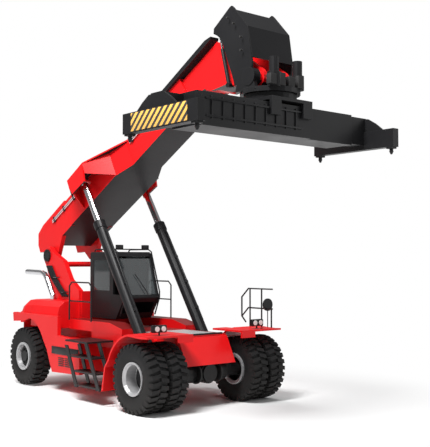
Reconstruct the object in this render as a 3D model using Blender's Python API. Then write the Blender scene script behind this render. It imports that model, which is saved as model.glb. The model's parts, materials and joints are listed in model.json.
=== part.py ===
"""Container reach stacker, 45 tonne class, retracted boom raised to about 29 degrees.

Frame: +Z up, -Y forward, +X the machine's left.  The model is laid out from the ground
point under the drive axle; the empty called machine then moves that point so that the
origin is the middle of the whole machine's box, on the ground.
"""
import math

import bpy
from mathutils import Matrix, Vector

# ---- driving dimensions, metres ------------------------------------------------------
WHEELBASE = 5.93
TYRE_RADIUS = 0.8075           # 18.00-25
TYRE_WIDTH = 0.498
RIM_FLANGE = 0.389
RIM_SEAT = 0.335
SEAT_HALF = 0.1815             # half the width between the rim flanges
TWIN_INNER = 1.245             # tyre centre planes on the drive axle
TWIN_OUTER = 1.815
STEER_TRACK = 1.46             # tyre centre plane on the steer axle
KINGPIN = 1.0
GAP = 0.0003                   # between pieces that touch

BOOM_ANGLE = math.radians(28.89)
BOOM_PIVOT = Vector((0.0, 6.05, 3.65))
BOOM_BOTTOM = 0.255            # above the pivot, square to the boom
BOOM_TOP = 1.085
BOOM_REAR_HALF = 0.70          # half width behind the cylinder brackets
BOOM_FRONT_HALF = 0.466        # and ahead of them
BRACKET_EYE = (2.87, 0.70)    # rod eye, along and above the boom from its pivot
BRACKET_REACH = 1.22           # outer edge of the bracket wings
CYLINDER_X = 0.98
CYLINDER_FOOT = Vector((0.0, 1.04, 1.45))
BARREL_LENGTH = 3.70
HEAD_PIN = (9.30, -0.67)       # along and above the boom from its pivot
NOSE_START = 7.20

SPREADER_Y = -2.44
SPREADER_X = -0.10             # parked side shift
LOCK_TIP = 6.00
LOCK_LONG = 5.853              # between twistlock centres at 20 ft
LOCK_WIDE = 2.259
FRAME_BOTTOM = 6.245
FRAME_TOP = 6.96
FRAME_HALF_WIDE = 0.405
FRAME_HALF_LONG = 2.36

CAB_HALF = 0.58
CAB_REAR = 4.18
CAB_FLOOR = 1.95
CAB_ROOF = 3.74
WALL = 0.05

REAR_END = 7.34
FRONT_END = SPREADER_Y - LOCK_WIDE / 2 - 0.13
# the machine's ground datum moves to the middle of the whole box
DATUM_SHIFT = Vector((-SPREADER_X, -(REAR_END + FRONT_END) / 2, 0.0))

RED = (0.62, 0.012, 0.012, 1)
BLACK = (0.022, 0.022, 0.024, 1)
GREY = (0.10, 0.10, 0.105, 1)
STEEL = (0.55, 0.55, 0.56, 1)
RUBBER = (0.018, 0.018, 0.019, 1)
SILVER = (0.42, 0.42, 0.43, 1)
GLASS = (0.05, 0.06, 0.07, 1)


# ---- scene and small makers ----------------------------------------------------------
def clear_scene():
    for old in list(bpy.data.objects):
        bpy.data.objects.remove(old, do_unlink=True)


def raw(verts, faces):
    """A loose mesh object from corners and faces, used as a building shape."""
    mesh = bpy.data.meshes.new("shape")
    mesh.from_pydata([tuple(v) for v in verts], [], faces)
    mesh.update()
    shape = bpy.data.objects.new("shape", mesh)
    bpy.context.scene.collection.objects.link(shape)
    return shape


def signed_area(points):
    total = 0.0
    for (a, b), (c, d) in zip(points, points[1:] + points[:1]):
        total += a * d - b * c
    return total


def prism(points, low, high, axis):
    """Extrude an outline from low to high along X (y, z points), Y (x, z) or Z (x, y)."""
    points = [tuple(p) for p in points]
    clockwise = signed_area(points) < 0
    if clockwise:
        points.reverse()
    place = {"X": lambda u, v, w: (w, u, v),
             "Y": lambda u, v, w: (u, w, v),
             "Z": lambda u, v, w: (u, v, w)}[axis]
    count = len(points)
    verts = [place(u, v, low) for u, v in points] + [place(u, v, high) for u, v in points]
    faces = [list(range(count - 1, -1, -1)), list(range(count, 2 * count))]
    for i in range(count):
        j = (i + 1) % count
        faces.append([i, j, count + j, count + i])
    if axis == "Y":
        faces = [face[::-1] for face in faces]
    return raw(verts, faces)


def box(x0, x1, y0, y1, z0, z1):
    return prism([(x0, y0), (x1, y0), (x1, y1), (x0, y1)], z0, z1, "Z")


def ring(centre, across, up, radius, sides):
    """Points of a circle round centre in the plane of two unit vectors."""
    points = []
    for i in range(sides):
        angle = 2 * math.pi * i / sides
        points.append(centre + across * (radius * math.cos(angle))
                      + up * (radius * math.sin(angle)))
    return points


def loft(rings):
    """A closed body through rings of equal size, in order, with flat ends."""
    count = len(rings[0])
    verts = [p for one in rings for p in one]
    faces = [list(range(count - 1, -1, -1))]
    for k in range(len(rings) - 1):
        base = k * count
        for i in range(count):
            j = (i + 1) % count
            faces.append([base + i, base + j, base + count + j, base + count + i])
    last = (len(rings) - 1) * count
    faces.append([last + i for i in range(count)])
    return raw(verts, faces)


def side_vectors(direction):
    across = direction.orthogonal().normalized()
    return across, direction.cross(across).normalized()


def rod(start, end, radius, sides=16, end_radius=None):
    start, end = Vector(start), Vector(end)
    across, up = side_vectors((end - start).normalized())
    wide = radius if end_radius is None else end_radius
    return loft([ring(start, across, up, radius, sides), ring(end, across, up, wide, sides)])


def pipe(points, radius, sides=8):
    """A round bar along a bent path, mitred at each bend."""
    points = [Vector(p) for p in points]
    rings = []
    across = None
    for i, here in enumerate(points):
        before = (here - points[i - 1]).normalized() if i else None
        after = (points[i + 1] - here).normalized() if i + 1 < len(points) else None
        along = ((before or after) + (after or before)).normalized()
        if across is None:
            across = along.orthogonal().normalized()
        across = (across - along * across.dot(along)).normalized()
        up = along.cross(across).normalized()
        stretch = 1.0 / max(0.6, along.dot(after or before))
        rings.append(ring(here, across, up, radius * stretch, sides))
    return loft(rings)


def turned(profile, sides=24):
    """Spin an outline of (x, radius) corners round the X axis; radius 0 closes an end."""
    verts, start, faces = [], [], []
    for x, radius in profile:
        start.append(len(verts))
        if radius < 1e-6:
            verts.append((x, 0.0, 0.0))
            continue
        for i in range(sides):
            angle = 2 * math.pi * i / sides
            verts.append((x, radius * math.cos(angle), radius * math.sin(angle)))
    pairs = list(zip(range(len(profile)), range(1, len(profile))))
    if profile[0][1] > 1e-6:
        pairs.append((len(profile) - 1, 0))
    for a, b in pairs:
        for i in range(sides):
            j = (i + 1) % sides
            pole_a, pole_b = profile[a][1] < 1e-6, profile[b][1] < 1e-6
            if pole_a:
                faces.append([start[a], start[b] + j, start[b] + i])
            elif pole_b:
                faces.append([start[a] + i, start[a] + j, start[b]])
            else:
                faces.append([start[a] + i, start[a] + j, start[b] + j, start[b] + i])
    return outward(raw(verts, faces))


def outward(shape):
    """Turn a closed shape the right way out, whichever way its outline ran."""
    mesh = shape.data
    volume = 0.0
    for face in mesh.polygons:
        corner = [mesh.vertices[i].co for i in face.vertices]
        for i in range(1, len(corner) - 1):
            volume += corner[0].dot(corner[i].cross(corner[i + 1]))
    if volume < 0:
        mesh.flip_normals()
    return shape


def move(shape, x=0.0, y=0.0, z=0.0):
    shape.data.transform(Matrix.Translation((x, y, z)))
    return shape


def mirrored(shape):
    """The same shape on the other side of the machine."""
    shape.data.transform(Matrix.Diagonal((-1, 1, 1, 1)))
    shape.data.flip_normals()
    return shape


def in_boom(shape):
    """Take a shape laid out from the boom's pivot (-Y along the boom) to the machine."""
    shape.data.transform(Matrix.Translation(BOOM_PIVOT)
                         @ Matrix.Rotation(-BOOM_ANGLE, 4, "X"))
    return shape


def boom_point(along, above, x=0.0):
    cos, sin = math.cos(BOOM_ANGLE), math.sin(BOOM_ANGLE)
    return Vector((x, BOOM_PIVOT.y - along * cos + above * sin,
                   BOOM_PIVOT.z + along * sin + above * cos))


def boom_prism(points, low, high):
    """Extrude across the machine an outline of (along, above) points on the boom."""
    return in_boom(prism([(-along, above) for along, above in points], low, high, "X"))


def arc(cx, cy, radius, start, end, steps):
    """Points on a circle from one angle to another, in degrees."""
    points = []
    for i in range(steps + 1):
        angle = math.radians(start + (end - start) * i / steps)
        points.append((cx + radius * math.cos(angle), cy + radius * math.sin(angle)))
    return points


MATERIALS = {}


def finish(name, colour, roughness, metallic):
    """One material for each sub-part, so that its colour can be changed alone."""
    paint = bpy.data.materials.new(name)
    paint.use_nodes = True
    shader = paint.node_tree.nodes["Principled BSDF"]
    shader.inputs["Base Color"].default_value = colour
    shader.inputs["Roughness"].default_value = roughness
    shader.inputs["Metallic"].default_value = metallic
    MATERIALS[name] = paint
    return paint


FINISH = {
    "red": (RED, 0.35, 0.0),
    "black": (BLACK, 0.45, 0.0),
    "grey": (GREY, 0.5, 0.0),
    "steel": (STEEL, 0.2, 1.0),
    "rubber": (RUBBER, 0.85, 0.0),
    "silver": (SILVER, 0.4, 0.6),
    "glass": (GLASS, 0.05, 0.0),
    "iron": (GREY, 0.7, 0.3),
    "leather": (BLACK, 0.7, 0.0),
}


def piece(name, shapes, look, pivot=(0, 0, 0), cuts=()):
    """One named sub-part: shapes welded together, cuts taken away, origin at its pivot."""
    base = shapes[0]
    operands = [(other, "UNION") for other in shapes[1:]]
    operands += [(other, "DIFFERENCE") for other in cuts]
    for other, operation in operands:
        step = base.modifiers.new("weld", "BOOLEAN")
        step.object = other
        step.operation = operation
        step.solver = "EXACT"
    if operands:
        bpy.context.view_layer.update()
        graph = bpy.context.evaluated_depsgraph_get()
        mesh = bpy.data.meshes.new_from_object(base.evaluated_get(graph))
        base.modifiers.clear()
        base.data = mesh
        for other, _ in operands:
            bpy.data.objects.remove(other, do_unlink=True)
    base.data.transform(Matrix.Translation(-Vector(pivot)))
    base.name = name
    base.data.name = name
    base.location = pivot
    base.parent = bpy.data.objects["machine"]
    base.data.materials.clear()
    base.data.materials.append(finish(name, *FINISH[look]))
    return base


# ---- chassis -------------------------------------------------------------------------
FRAME_OUT = 0.76
FRAME_IN = 0.56
REAR_OUT = 0.50
REAR_IN = 0.30


def chassis_frame():
    side = [(-0.05, 1.66), (-0.38, 1.02), (-0.34, 1.02)]
    side += arc(0.0, TYRE_RADIUS, 0.345, 140, 20, 6)
    side += [(0.42, 0.80), (0.60, 0.72), (4.60, 0.72), (4.60, 1.66)]
    rear = [(4.20, 1.12), (7.02, 1.12), (7.02, 1.66), (4.20, 1.66)]
    shapes = [prism(side, FRAME_IN, FRAME_OUT, "X"), prism(side, -FRAME_OUT, -FRAME_IN, "X"),
              prism(rear, REAR_IN, REAR_OUT, "X"), prism(rear, -REAR_OUT, -REAR_IN, "X")]
    front = [(-0.05, 1.66), (-0.38, 1.02), (-0.33, 1.02), (0.0, 1.66)]
    shapes.append(prism(front, -FRAME_OUT + 0.02, FRAME_OUT - 0.02, "X"))
    for y0, y1, z0, z1, half in ((0.62, 0.78, 0.80, 1.55, 0.6), (2.30, 2.46, 0.80, 1.55, 0.6),
                                 (4.22, 4.58, 0.90, 1.60, 0.7), (6.80, 7.00, 1.14, 1.64, 0.4)):
        shapes.append(box(-half, half, y0, y1, z0, z1))
    # brackets for the feet of the lift cylinders
    for sign in (1, -1):
        foot = [(0.80, 1.30), (1.30, 1.22), (1.30, 1.60), (1.14, 1.64), (0.94, 1.64), (0.80, 1.55)]
        shape = prism(foot, FRAME_OUT - 0.02, 0.825, "X")
        shapes.append(shape if sign > 0 else mirrored(shape))
    return piece("chassis_frame", shapes, "red")


def deck():
    """Plates between and beside the side beams, with a raised walk on each side of the cab."""
    plate = [(0.02, 1.66 + GAP), (4.17, 1.66 + GAP), (4.17, 1.70), (0.10, 1.70), (0.02, 1.69)]
    shapes = [prism(plate, -0.79, 0.79, "X")]
    walk = [(1.62, 1.662), (4.16, 1.662), (4.16, 1.93), (2.20, 1.93), (1.62, 1.80)]
    for sign in (1, -1):
        shape = prism(walk, 0.77, 1.24, "X")
        skirt = box(1.20, 1.236, 1.64, 3.04, 1.30, 1.70)
        shapes += [shape, skirt] if sign > 0 else [mirrored(shape), mirrored(skirt)]
    return piece("deck", shapes, "red")


def fenders():
    """Arched guards over the twin tyres, with a flat inner deck beside the frame."""
    outer = [(1.24, 0.40), (1.12, 0.98)] + arc(0.0, 0.80, 1.03, 22, 82, 8)
    outer += [(-0.10, 1.80), (-0.42, 1.79), (-0.62, 1.80)]
    inner = [(-0.62, 1.755), (-0.42, 1.745), (-0.10, 1.755)]
    inner += arc(0.0, 0.80, 0.985, 82, 22, 8) + [(1.075, 0.98), (1.19, 0.40)]
    for side, sign in (("left", 1), ("right", -1)):
        shapes = [prism(outer + inner, 1.17, 2.08, "X"),
                  box(0.762, 1.20, -0.62, 0.50, 1.755, 1.80),
                  box(0.762, 1.20, -0.62, -0.57, 1.62, 1.78)]
        if sign < 0:
            shapes = [mirrored(s) for s in shapes]
        piece(f"fender_{side}", shapes, "red")


TOWER_OUT = 0.87
TOWER_IN = 0.735


def boom_towers():
    """The two leaning posts that carry the boom's pivot, with their cross walls."""
    y, z = BOOM_PIVOT.y, BOOM_PIVOT.z
    post = [(5.70, 1.665), (5.70, 2.40), (y + 0.05, 3.30)]
    post += arc(y, z, 0.26, -20, 150, 10)
    post += [(5.16, 3.50), (4.78, 2.98), (4.30, 2.68), (4.22, 1.665)]
    shapes = [prism(post, TOWER_IN, TOWER_OUT, "X"), prism(post, -TOWER_OUT, -TOWER_IN, "X"),
              box(-0.80, 0.80, 4.24, 4.32, 1.665, 2.66),
              rod((-0.80, 5.27, 3.40), (0.80, 5.27, 3.40), 0.075, 14)]
    return piece("boom_towers", shapes, "red")


# ---- engine end ----------------------------------------------------------------------
HOOD_HALF = 1.50
SEAM = 2.02
HOOD_TOP = 2.40
HOOD_FRONT = 5.86


def engine_hood():
    """The lid over the engine: crowned top, rounded rear, open underneath."""
    def section(half, top, low):
        return [(-half, low), (-half + 0.06, top - 0.16), (-half + 0.22, top - 0.02),
                (-half + 0.40, top), (half - 0.40, top), (half - 0.22, top - 0.02),
                (half - 0.06, top - 0.16), (half, low)]
    stations = [(HOOD_FRONT, 0.0, 0.0), (6.30, 0.0, 0.015), (6.52, 0.06, 0.07), (6.70, 0.20, 0.24)]
    outer = []
    inner = []
    for y, narrow, drop in stations:
        outer.append([Vector((x, y, z)) for x, z in section(HOOD_HALF - narrow, HOOD_TOP - drop,
                                                           SEAM)])
        inner.append([Vector((x, y - 0.04, z)) for x, z in
                      section(HOOD_HALF - 0.05 - narrow, HOOD_TOP - 0.045 - drop, SEAM - 0.03)])
    inner[0] = [Vector((p.x, HOOD_FRONT - 0.05, p.z)) for p in inner[0]]
    lid = outward(loft(outer))
    void = outward(loft(inner))
    return piece("engine_hood", [lid], "red", pivot=(0, HOOD_FRONT, HOOD_TOP + 0.005),
                 cuts=[void])


def body_sides():
    """Covers beside the towers, flush with the lid, with the skirts and wheel arches below."""
    cover = [(TOWER_OUT + 0.006, 1.665), (TOWER_OUT + 0.006, HOOD_TOP),
             (HOOD_HALF - 0.40, HOOD_TOP), (HOOD_HALF - 0.22, HOOD_TOP - 0.02),
             (HOOD_HALF - 0.06, HOOD_TOP - 0.16), (HOOD_HALF, SEAM), (HOOD_HALF, 1.665)]
    inside = [(TOWER_OUT + 0.05, 1.60), (TOWER_OUT + 0.05, HOOD_TOP - 0.05),
              (HOOD_HALF - 0.44, HOOD_TOP - 0.05), (HOOD_HALF - 0.11, HOOD_TOP - 0.19),
              (HOOD_HALF - 0.05, SEAM), (HOOD_HALF - 0.05, 1.60)]
    skirt = [(3.05, 0.55), (4.46, 0.50), (4.77, 1.10)]
    skirt += arc(WHEELBASE, 0.80, 1.10, 150, 100, 6)
    skirt += [(6.05, 1.79), (6.72, 1.75), (6.76, SEAM - 0.03), (6.70, SEAM - 0.008),
              (4.18, SEAM - 0.008), (4.18, 1.50), (3.05, 1.44)]
    for side, sign in (("left", 1), ("right", -1)):
        shapes = [prism(cover, 4.36, HOOD_FRONT - 0.008, "Y"),
                  prism(skirt, HOOD_HALF - 0.01, 1.60, "X")]
        cuts = [prism(inside, 4.42, HOOD_FRONT - 0.06, "Y")]
        if sign < 0:
            shapes = [mirrored(s) for s in shapes]
            cuts = [mirrored(s) for s in cuts]
        piece(f"body_side_{side}", shapes, "red", cuts=cuts)


def side_tanks():
    """Hydraulic tank on the right and fuel tank on the left, between the axles."""
    for side, sign in (("left", 1), ("right", -1)):
        tank = prism([(3.06, 0.56), (4.40, 0.52), (4.62, 0.90), (4.62, 1.22), (4.14, 1.42),
                      (3.06, 1.42)], FRAME_OUT + 0.006, HOOD_HALF - 0.012, "X")
        shapes = [tank if sign > 0 else mirrored(tank)]
        piece(f"side_tank_{side}", shapes, "red")


def counterweight():
    plan = [(-0.98, REAR_END - 0.10), (-0.80, REAR_END), (0.80, REAR_END),
            (0.98, REAR_END - 0.10), (1.10, 7.06), (0.52, 7.03), (-0.52, 7.03), (-1.10, 7.06)]
    lip = [(-1.30, 6.86), (-1.00, 7.28), (1.00, 7.28), (1.30, 6.86), (1.15, 6.80), (-1.15, 6.80)]
    shapes = [prism(plan, 0.62, 1.72, "Z"), prism(lip, 1.69, 2.00, "Z")]
    return piece("counterweight", shapes, "red")


def engine_block():
    return piece("engine_block", [box(-0.46, 0.46, 4.75, 6.30, 1.67, 2.20)], "iron")


def exhaust_stack():
    """Silencer outlet beside the right tower: upright, elbow, long tail."""
    x = -1.0
    path = [(x, 5.50, HOOD_TOP + GAP), (x, 5.50, 2.52), (x, 5.86, 3.00), (x, 5.98, 3.11),
            (x, 6.14, 3.15), (x, 7.05, 3.17)]
    return piece("exhaust_stack", [outward(pipe(path, 0.075, 14))], "steel")


# ---- ladders and rails ---------------------------------------------------------------
def ladders():
    """Sloping side ladders with a platform at deck level."""
    for side, sign in (("left", 1), ("right", -1)):
        x0, x1 = 1.62, 2.02
        rails = []
        for top, foot in (((3.00, 1.36), (2.50, 0.36)), ((2.08, 1.50), (1.47, 0.36))):
            rail = [(top[0] - 0.07, top[1]), (top[0] + 0.07, top[1]),
                    (foot[0] + 0.07, foot[1]), (foot[0] - 0.07, foot[1])]
            rails.append(prism(rail, x1 - 0.03, x1, "X"))
            rails.append(prism(rail, x0, x0 + 0.03, "X"))
        shapes = [box(1.245, x1, 2.00, 3.04, 1.455, 1.50)]
        shapes += rails
        for z, y0, y1 in ((1.08, 1.80, 2.86), (0.72, 1.62, 2.68), (0.38, 1.44, 2.52)):
            shapes.append(box(x0 + 0.01, x1 - 0.01, y0, y1, z, z + 0.04))
        if sign < 0:
            shapes = [mirrored(s) for s in shapes]
        piece(f"ladder_{side}", shapes, "black")


def rail_frame(posts, top, middle, radius=0.02):
    """Upright posts with a top rail and a middle rail, as one welded frame."""
    shapes = [outward(pipe(top, radius, 8))]
    for post in posts:
        shapes.append(rod(post[0], post[1], radius, 8))
    if middle:
        shapes.append(outward(pipe(middle, radius, 8)))
    return shapes


def handrails():
    """Rail at the front corner of the left deck."""
    x, base = 1.90, 1.805
    posts = [((x, 0.34, 1.782), (x, 0.34, 2.78)), ((x, -0.10, base), (x, -0.10, 2.78)),
             ((x, -0.46, base), (x, -0.46, 2.30))]
    top = [(x, 0.50, 1.90), (x, 0.66, 2.05), (x, 0.66, 2.55), (x, 0.40, 2.78), (x, -0.50, 2.78)]
    middle = [(x, 0.655, 2.05), (x, 0.40, 2.28), (x, -0.50, 2.28)]
    return piece("handrail_front_left", rail_frame(posts, top, middle), "black")


# ---- cab -----------------------------------------------------------------------------
CAB_PROFILE = [(CAB_REAR, CAB_FLOOR), (CAB_REAR, CAB_ROOF - 0.05), (CAB_REAR - 0.05, CAB_ROOF),
               (3.00, CAB_ROOF), (2.92, CAB_ROOF - 0.05), (2.53, 2.50), (2.86, 2.02),
               (2.92, CAB_FLOOR)]
CAB_INSIDE = [(CAB_REAR - WALL, CAB_FLOOR + 0.06), (CAB_REAR - WALL, CAB_ROOF - 0.07),
              (3.01, CAB_ROOF - 0.07), (2.96, CAB_ROOF - 0.10), (2.59, 2.50), (2.90, 2.05),
              (2.93, CAB_FLOOR + 0.06)]
DOOR_REAR = CAB_REAR - 0.08
DOOR_FRONT = 3.12
DOOR_LOW = 2.04
DOOR_HIGH = 3.62


def cab_shell():
    body = prism(CAB_PROFILE, -CAB_HALF, CAB_HALF, "X")
    room = prism(CAB_INSIDE, -CAB_HALF + WALL, CAB_HALF - WALL, "X")
    cuts = [room]
    # door opening on the right, matching window on the left
    cuts.append(box(-CAB_HALF - 0.1, -CAB_HALF + 0.1, DOOR_FRONT, DOOR_REAR, DOOR_LOW, DOOR_HIGH))
    cuts.append(box(CAB_HALF - 0.1, CAB_HALF + 0.1, DOOR_FRONT, DOOR_REAR, 2.62, DOOR_HIGH))
    # front quarter lights, both sides
    light = [(3.04, 3.60), (2.98, 3.58), (2.66, 2.60), (3.04, 2.60)]
    cuts.append(prism(light, -CAB_HALF - 0.1, -CAB_HALF + 0.1, "X"))
    cuts.append(prism(light, CAB_HALF - 0.1, CAB_HALF + 0.1, "X"))
    # windscreen, lower front light, rear window
    screen = [(2.70, 3.62), (3.10, 3.62), (2.80, 2.58), (2.40, 2.58)]
    cuts.append(prism(screen, -CAB_HALF + 0.06, CAB_HALF - 0.06, "X"))
    lower = [(2.50, 2.40), (2.72, 2.40), (2.98, 2.10), (2.60, 2.10)]
    cuts.append(prism(lower, -CAB_HALF + 0.10, CAB_HALF - 0.10, "X"))
    cuts.append(box(-CAB_HALF + 0.09, CAB_HALF - 0.09, CAB_REAR - 0.1, CAB_REAR + 0.1, 2.75, 3.58))
    return piece("cab_shell", [body], "black", cuts=cuts)


def cab_door():
    x0, x1 = -CAB_HALF, -CAB_HALF + 0.04
    panel = box(x0, x1, DOOR_FRONT + 0.006, DOOR_REAR - 0.006, DOOR_LOW + 0.006, DOOR_HIGH - 0.006)
    window = box(x0 - 0.1, x1 + 0.1, DOOR_FRONT + 0.09, DOOR_REAR - 0.09, 2.70, DOOR_HIGH - 0.09)
    piece("cab_door", [panel], "black", pivot=(x0, DOOR_REAR, 2.8), cuts=[window])
    pane = box(x0 + 0.012, x0 + 0.024, DOOR_FRONT + 0.09 + GAP, DOOR_REAR - 0.09 - GAP,
               2.70 + GAP, DOOR_HIGH - 0.09 - GAP)
    piece("door_glass", [pane], "glass", pivot=(x0, DOOR_REAR, 2.8))


def cab_glass():
    thick = 0.012
    slope = Vector((2.92 - 2.53, CAB_ROOF - 0.05 - 2.50)).normalized()
    normal = Vector((slope.y, -slope.x))
    low = Vector((2.53, 2.50)) + slope * 0.10 + normal * 0.015
    high = Vector((2.53, 2.50)) + slope * 1.12 + normal * 0.015
    screen = [tuple(low), tuple(high), tuple(high + normal * thick), tuple(low + normal * thick)]
    piece("windscreen", [prism(screen, -CAB_HALF + 0.0603, CAB_HALF - 0.0603, "X")], "glass")
    piece("side_glass_left", [box(CAB_HALF - 0.03, CAB_HALF - 0.018, DOOR_FRONT + GAP,
                                  DOOR_REAR - GAP, 2.62 + GAP, DOOR_HIGH - GAP)], "glass")
    piece("rear_glass", [box(-CAB_HALF + 0.0903, CAB_HALF - 0.0903, CAB_REAR - 0.03,
                             CAB_REAR - 0.018, 2.7503, 3.5797)], "glass")


def cab_fittings():
    seat = [box(-0.26, 0.26, 3.30, 3.80, 2.42, 2.54), box(-0.25, 0.25, 3.72, 3.86, 2.46, 3.22),
            box(-0.16, 0.16, 3.40, 3.72, CAB_FLOOR + 0.06 + GAP, 2.44)]
    piece("operator_seat", seat, "leather")
    column = [rod((0, 3.10, CAB_FLOOR + 0.07), (0, 3.18, 2.72), 0.045, 12),
              rod((0, 3.175, 2.70), (0, 3.190, 2.735), 0.19, 20)]
    piece("steering_column", column, "black")


# ---- axles and wheels ----------------------------------------------------------------
def drive_axle():
    h = TYRE_RADIUS
    shapes = [rod((-1.185, 0, h), (1.185, 0, h), 0.16, 20), rod((-0.62, 0, h), (0.62, 0, h), 0.235, 20),
              rod((0, -0.27, h), (0, 0.36, h), 0.25, 24)]
    for x in (-0.66, 0.66):
        shapes.append(box(x - 0.09, x + 0.09, -0.18, 0.18, h - 0.1, 1.09))
    return piece("drive_axle", shapes, "black", pivot=(0, 0, h))


def tyre(name, x, y):
    half = TYRE_WIDTH / 2
    profile = [(-half * 0.78, TYRE_RADIUS), (half * 0.78, TYRE_RADIUS), (half * 0.95, 0.775),
               (half, 0.66), (half, 0.55), (half * 0.9, 0.45), (0.181, 0.396), (0.181, RIM_SEAT),
               (-0.181, RIM_SEAT), (-0.181, 0.396), (-half * 0.9, 0.45), (-half, 0.55),
               (-half, 0.66), (-half * 0.95, 0.775)]
    shape = move(turned(profile), x, y, TYRE_RADIUS)
    return piece(name, [shape], "rubber", pivot=(x, y, TYRE_RADIUS))


def twin_rims(side, sign):
    """Both rims of a twin wheel with the hub and spacer between them."""
    seat, flange = RIM_SEAT - GAP, RIM_FLANGE
    a, b = TWIN_INNER - SEAT_HALF, TWIN_INNER + SEAT_HALF
    c, d = TWIN_OUTER - SEAT_HALF, TWIN_OUTER + SEAT_HALF
    profile = [(0.994, flange), (a, flange), (a, seat), (b, seat), (b, flange), (1.50, flange),
               (1.50, 0.33), (1.56, 0.33), (1.56, flange), (c, flange), (c, seat), (d, seat),
               (d, flange), (2.055, flange), (2.055, 0.362), (2.0, 0.318), (1.74, 0.305),
               (1.70, 0.25), (1.70, 0.17), (1.80, 0.155), (1.80, 0.0)]
    inner = [(1.20, 0.0), (1.20, 0.28), (1.02, 0.30), (0.994, 0.362)]
    shape = move(turned(inner + profile), 0, 0, TYRE_RADIUS)
    if sign < 0:
        shape = mirrored(shape)
    piece(f"front_rims_{side}", [shape], "silver", pivot=(sign * TWIN_INNER, 0, TYRE_RADIUS))


def steer_rim(side, sign):
    seat, flange = RIM_SEAT - GAP, RIM_FLANGE
    a, b = STEER_TRACK - SEAT_HALF, STEER_TRACK + SEAT_HALF
    profile = [(1.32, 0.0), (1.32, 0.22), (1.30, 0.29), (1.24, 0.30), (1.215, 0.362),
               (1.215, flange), (a, flange), (a, seat), (b, seat), (b, flange), (1.71, flange),
               (1.71, 0.33), (1.60, 0.30), (1.60, 0.17), (1.66, 0.15), (1.66, 0.0)]
    shape = move(turned(profile), 0, WHEELBASE, TYRE_RADIUS)
    if sign < 0:
        shape = mirrored(shape)
    piece(f"rear_rim_{side}", [shape], "silver", pivot=(sign * STEER_TRACK, WHEELBASE, TYRE_RADIUS))


def wheels():
    for side, sign in (("left", 1), ("right", -1)):
        tyre(f"front_tyre_inner_{side}", sign * TWIN_INNER, 0.0)
        tyre(f"front_tyre_outer_{side}", sign * TWIN_OUTER, 0.0)
        twin_rims(side, sign)
        tyre(f"rear_tyre_{side}", sign * STEER_TRACK, WHEELBASE)
        steer_rim(side, sign)


def steer_axle():
    y, h = WHEELBASE, TYRE_RADIUS
    shapes = [box(-0.86, 0.86, y - 0.17, y + 0.17, h - 0.19, h + 0.19),
              box(-0.28, 0.28, y - 0.16, y + 0.16, h, 1.12 - GAP)]
    for sign in (1, -1):
        for z0, z1 in ((h + 0.275, h + 0.345), (h - 0.345, h - 0.275)):
            x0, x1 = sorted((sign * 0.78, sign * 1.12))
            shapes.append(box(x0, x1, y - 0.13, y + 0.13, z0, z1))
        x0, x1 = sorted((sign * 0.76, sign * 0.855))
        shapes.append(box(x0, x1, y - 0.15, y + 0.15, h - 0.34, h + 0.34))
    return piece("steer_axle", shapes, "black")


def knuckles():
    y, h = WHEELBASE, TYRE_RADIUS
    for side, sign in (("left", 1), ("right", -1)):
        k = sign * KINGPIN
        shapes = [rod((k, y, h - 0.268), (k, y, h + 0.268), 0.11, 16),
                  rod((k, y, h), (sign * 1.312, y, h), 0.12, 16)]
        piece(f"steer_knuckle_{side}", shapes, "black", pivot=(k, y, h))


# ---- boom ----------------------------------------------------------------------------
def boom_outer():
    """Telescope housing: wide at the back, flared brackets for the rods, narrow ahead."""
    wide, slim, low, top = BOOM_REAR_HALF, BOOM_FRONT_HALF, BOOM_BOTTOM, BOOM_TOP
    end = 7.12
    plan = [(0.15, wide), (3.88, wide), (4.45, slim), (end, slim)]
    outline = [(x, -a) for a, x in plan] + [(-x, -a) for a, x in reversed(plan)]
    box_body = in_boom(prism(outline, low, 1.00, "Z"))
    rear = [(-0.62, 0.70), (-0.62, 0.45), (-0.25, 0.28), (-0.10, -0.06), (0.12, -0.24),
            (0.30, -0.10), (0.75, low - 0.012), (1.31, low - 0.012), (1.31, top), (-0.10, top),
            (-0.46, 1.00)]
    cheeks = []
    for x0, x1 in ((-wide - 0.004, -wide + 0.12), (wide - 0.12, wide + 0.004)):
        cheeks.append(boom_prism(rear, x0, x1))
    rear_box = boom_prism([(0.25, 0.42), (0.78, low + 0.01), (1.24, low + 0.01),
                           (1.24, top - 0.03), (-0.05, top - 0.03), (-0.05, 0.60)],
                          -wide + 0.05, wide - 0.05)
    top_back = boom_prism([(-0.07, top - 0.012), (-0.07, top - 0.25), (3.95, 0.90),
                           (3.95, top - 0.06)], -wide + 0.02, wide - 0.02)
    wing_plan = [(1.72, wide - 0.1), (1.72, wide), (2.44, BRACKET_REACH), (3.34, BRACKET_REACH),
                 (4.55, slim), (4.55, wide - 0.34)]
    shapes = [box_body, rear_box, top_back] + cheeks
    for sign in (1, -1):
        wing = in_boom(prism([(x, -a) for a, x in wing_plan], 0.955, 0.995, "Z"))
        outer = boom_prism([(2.46, 0.97), (2.50, 0.52), (3.18, 0.50), (3.32, 0.97)],
                           BRACKET_REACH - 0.05, BRACKET_REACH)
        front = gusset((3.32, BRACKET_REACH - 0.01), (3.90, wide - 0.02), 0.27, 0.66, 0.975)
        back = gusset((2.46, BRACKET_REACH - 0.01), (2.12, wide - 0.02), 0.27, 0.70, 0.975)
        for shape in (wing, outer, front, back):
            shapes.append(shape if sign > 0 else mirrored(shape))
    tunnel = in_boom(box(-0.425, 0.425, -end - 0.5, -0.62, low + 0.035, 0.965))
    return piece("boom_outer", shapes, "red", pivot=BOOM_PIVOT, cuts=[tunnel])


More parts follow.
